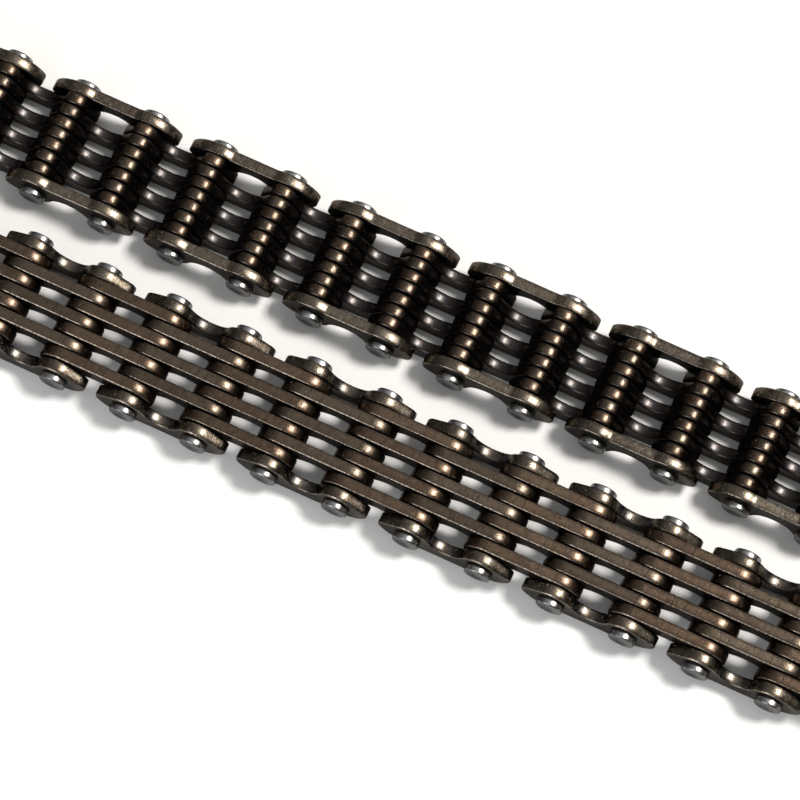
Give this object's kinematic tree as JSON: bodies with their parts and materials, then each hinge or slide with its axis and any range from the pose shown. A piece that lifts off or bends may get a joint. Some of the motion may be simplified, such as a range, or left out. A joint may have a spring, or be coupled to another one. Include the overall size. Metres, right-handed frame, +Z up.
{
  "type": "silent chain",
  "caption": "Inverted-tooth drive chain: stacked toothed plates and smooth guide plates hinged on headed rivet pins, in two straight runs side by side.",
  "frame": {"origin": "middle of the two runs' footprint, on the surface they lie on", "axes": "+X along the chain, +Y along the rivet pins from run 2 to run 1, +Z up"},
  "size_m": [0.096, 0.0248, 0.0042],
  "materials": {
    "guide_plate_steel": "oiled dark stamped steel, edges lighter",
    "guide_link_tooth_steel": "oiled dark stamped steel, sheared olive-brown edges",
    "inner_link_tooth_steel": "oiled dark stamped steel, reddish-brown edges",
    "pin_steel": "bright turned steel with riveted ends"
  },
  "bodies": {
    "run1_link01": {"run1_link01_guide_plates": "guide_plate_steel", "run1_link01_toothed_plates": "guide_link_tooth_steel", "run1_link01_rivet_pins": "pin_steel"},
    "run1_link02": {"run1_link02_toothed_plates": "inner_link_tooth_steel"},
    "run1_link03": {"run1_link03_guide_plates": "guide_plate_steel", "run1_link03_toothed_plates": "guide_link_tooth_steel", "run1_link03_rivet_pins": "pin_steel"},
    "run1_link04": {"run1_link04_toothed_plates": "inner_link_tooth_steel"},
    "run1_link05": {"run1_link05_guide_plates": "guide_plate_steel", "run1_link05_toothed_plates": "guide_link_tooth_steel", "run1_link05_rivet_pins": "pin_steel"},
    "run1_link06": {"run1_link06_toothed_plates": "inner_link_tooth_steel"},
    "run1_link07": {"run1_link07_guide_plates": "guide_plate_steel", "run1_link07_toothed_plates": "guide_link_tooth_steel", "run1_link07_rivet_pins": "pin_steel"},
    "run1_link08": {"run1_link08_toothed_plates": "inner_link_tooth_steel"},
    "run1_link09": {"run1_link09_guide_plates": "guide_plate_steel", "run1_link09_toothed_plates": "guide_link_tooth_steel", "run1_link09_rivet_pins": "pin_steel"},
    "run1_link10": {"run1_link10_toothed_plates": "inner_link_tooth_steel"},
    "run1_link11": {"run1_link11_guide_plates": "guide_plate_steel", "run1_link11_toothed_plates": "guide_link_tooth_steel", "run1_link11_rivet_pins": "pin_steel"},
    "run1_link12": {"run1_link12_toothed_plates": "inner_link_tooth_steel"},
    "run1_link13": {"run1_link13_guide_plates": "guide_plate_steel", "run1_link13_toothed_plates": "guide_link_tooth_steel", "run1_link13_rivet_pins": "pin_steel"},
    "run1_link14": {"run1_link14_toothed_plates": "inner_link_tooth_steel"},
    "run2_link01": {"run2_link01_guide_plates": "guide_plate_steel", "run2_link01_toothed_plates": "guide_link_tooth_steel", "run2_link01_rivet_pins": "pin_steel"},
    "run2_link02": {"run2_link02_toothed_plates": "inner_link_tooth_steel"},
    "run2_link03": {"run2_link03_guide_plates": "guide_plate_steel", "run2_link03_toothed_plates": "guide_link_tooth_steel", "run2_link03_rivet_pins": "pin_steel"},
    "run2_link04": {"run2_link04_toothed_plates": "inner_link_tooth_steel"},
    "run2_link05": {"run2_link05_guide_plates": "guide_plate_steel", "run2_link05_toothed_plates": "guide_link_tooth_steel", "run2_link05_rivet_pins": "pin_steel"},
    "run2_link06": {"run2_link06_toothed_plates": "inner_link_tooth_steel"},
    "run2_link07": {"run2_link07_guide_plates": "guide_plate_steel", "run2_link07_toothed_plates": "guide_link_tooth_steel", "run2_link07_rivet_pins": "pin_steel"},
    "run2_link08": {"run2_link08_toothed_plates": "inner_link_tooth_steel"},
    "run2_link09": {"run2_link09_guide_plates": "guide_plate_steel", "run2_link09_toothed_plates": "guide_link_tooth_steel", "run2_link09_rivet_pins": "pin_steel"},
    "run2_link10": {"run2_link10_toothed_plates": "inner_link_tooth_steel"},
    "run2_link11": {"run2_link11_guide_plates": "guide_plate_steel", "run2_link11_toothed_plates": "guide_link_tooth_steel", "run2_link11_rivet_pins": "pin_steel"},
    "run2_link12": {"run2_link12_toothed_plates": "inner_link_tooth_steel"},
    "run2_link13": {"run2_link13_guide_plates": "guide_plate_steel", "run2_link13_toothed_plates": "guide_link_tooth_steel", "run2_link13_rivet_pins": "pin_steel"},
    "run2_link14": {"run2_link14_toothed_plates": "inner_link_tooth_steel"}
  },
  "joints": [
    {"name": "run1_pivot_01", "type": "hinge", "parent": "run1_link02", "child": "run1_link01", "pos_m": [-0.03901, 0.00688, 0.00195], "axis": [0, 1, 0], "range_deg": [-14, 24]},
    {"name": "run1_pivot_02", "type": "hinge", "parent": "run1_link03", "child": "run1_link02", "pos_m": [-0.03266, 0.00688, 0.00195], "axis": [0, 1, 0], "range_deg": [-14, 24]},
    {"name": "run1_pivot_03", "type": "hinge", "parent": "run1_link04", "child": "run1_link03", "pos_m": [-0.02631, 0.00688, 0.00195], "axis": [0, 1, 0], "range_deg": [-14, 24]},
    {"name": "run1_pivot_04", "type": "hinge", "parent": "run1_link05", "child": "run1_link04", "pos_m": [-0.01996, 0.00688, 0.00195], "axis": [0, 1, 0], "range_deg": [-14, 24]},
    {"name": "run1_pivot_05", "type": "hinge", "parent": "run1_link06", "child": "run1_link05", "pos_m": [-0.01361, 0.00688, 0.00195], "axis": [0, 1, 0], "range_deg": [-14, 24]},
    {"name": "run1_pivot_06", "type": "hinge", "parent": "run1_link07", "child": "run1_link06", "pos_m": [-0.00726, 0.00688, 0.00195], "axis": [0, 1, 0], "range_deg": [-14, 24]},
    {"name": "run1_pivot_07", "type": "hinge", "parent": "run1_link07", "child": "run1_link08", "pos_m": [-0.00091, 0.00688, 0.00195], "axis": [0, -1, 0], "range_deg": [-14, 24]},
    {"name": "run1_pivot_08", "type": "hinge", "parent": "run1_link08", "child": "run1_link09", "pos_m": [0.00544, 0.00688, 0.00195], "axis": [0, -1, 0], "range_deg": [-14, 24]},
    {"name": "run1_pivot_09", "type": "hinge", "parent": "run1_link09", "child": "run1_link10", "pos_m": [0.01179, 0.00688, 0.00195], "axis": [0, -1, 0], "range_deg": [-14, 24]},
    {"name": "run1_pivot_10", "type": "hinge", "parent": "run1_link10", "child": "run1_link11", "pos_m": [0.01814, 0.00688, 0.00195], "axis": [0, -1, 0], "range_deg": [-14, 24]},
    {"name": "run1_pivot_11", "type": "hinge", "parent": "run1_link11", "child": "run1_link12", "pos_m": [0.02449, 0.00688, 0.00195], "axis": [0, -1, 0], "range_deg": [-14, 24]},
    {"name": "run1_pivot_12", "type": "hinge", "parent": "run1_link12", "child": "run1_link13", "pos_m": [0.03084, 0.00688, 0.00195], "axis": [0, -1, 0], "range_deg": [-14, 24]},
    {"name": "run1_pivot_13", "type": "hinge", "parent": "run1_link13", "child": "run1_link14", "pos_m": [0.03719, 0.00688, 0.00195], "axis": [0, -1, 0], "range_deg": [-14, 24]},
    {"name": "run2_lift", "type": "slide", "parent": "run1_link07", "child": "run2_link07", "axis": [0, 0, 1], "range_m": [0, 0.06]},
    {"name": "run2_pivot_01", "type": "hinge", "parent": "run2_link02", "child": "run2_link01", "pos_m": [-0.03647, -0.00688, 0.00225], "axis": [0, -1, 0], "range_deg": [-14, 24]},
    {"name": "run2_pivot_02", "type": "hinge", "parent": "run2_link03", "child": "run2_link02", "pos_m": [-0.03012, -0.00688, 0.00225], "axis": [0, -1, 0], "range_deg": [-14, 24]},
    {"name": "run2_pivot_03", "type": "hinge", "parent": "run2_link04", "child": "run2_link03", "pos_m": [-0.02377, -0.00688, 0.00225], "axis": [0, -1, 0], "range_deg": [-14, 24]},
    {"name": "run2_pivot_04", "type": "hinge", "parent": "run2_link05", "child": "run2_link04", "pos_m": [-0.01742, -0.00688, 0.00225], "axis": [0, -1, 0], "range_deg": [-14, 24]},
    {"name": "run2_pivot_05", "type": "hinge", "parent": "run2_link06", "child": "run2_link05", "pos_m": [-0.01107, -0.00688, 0.00225], "axis": [0, -1, 0], "range_deg": [-14, 24]},
    {"name": "run2_pivot_06", "type": "hinge", "parent": "run2_link07", "child": "run2_link06", "pos_m": [-0.00472, -0.00688, 0.00225], "axis": [0, -1, 0], "range_deg": [-14, 24]},
    {"name": "run2_pivot_07", "type": "hinge", "parent": "run2_link07", "child": "run2_link08", "pos_m": [0.00163, -0.00688, 0.00225], "axis": [0, 1, 0], "range_deg": [-14, 24]},
    {"name": "run2_pivot_08", "type": "hinge", "parent": "run2_link08", "child": "run2_link09", "pos_m": [0.00798, -0.00688, 0.00225], "axis": [0, 1, 0], "range_deg": [-14, 24]},
    {"name": "run2_pivot_09", "type": "hinge", "parent": "run2_link09", "child": "run2_link10", "pos_m": [0.01433, -0.00688, 0.00225], "axis": [0, 1, 0], "range_deg": [-14, 24]},
    {"name": "run2_pivot_10", "type": "hinge", "parent": "run2_link10", "child": "run2_link11", "pos_m": [0.02068, -0.00688, 0.00225], "axis": [0, 1, 0], "range_deg": [-14, 24]},
    {"name": "run2_pivot_11", "type": "hinge", "parent": "run2_link11", "child": "run2_link12", "pos_m": [0.02703, -0.00688, 0.00225], "axis": [0, 1, 0], "range_deg": [-14, 24]},
    {"name": "run2_pivot_12", "type": "hinge", "parent": "run2_link12", "child": "run2_link13", "pos_m": [0.03338, -0.00688, 0.00225], "axis": [0, 1, 0], "range_deg": [-14, 24]},
    {"name": "run2_pivot_13", "type": "hinge", "parent": "run2_link13", "child": "run2_link14", "pos_m": [0.03973, -0.00688, 0.00225], "axis": [0, 1, 0], "range_deg": [-14, 24]}
  ]
}
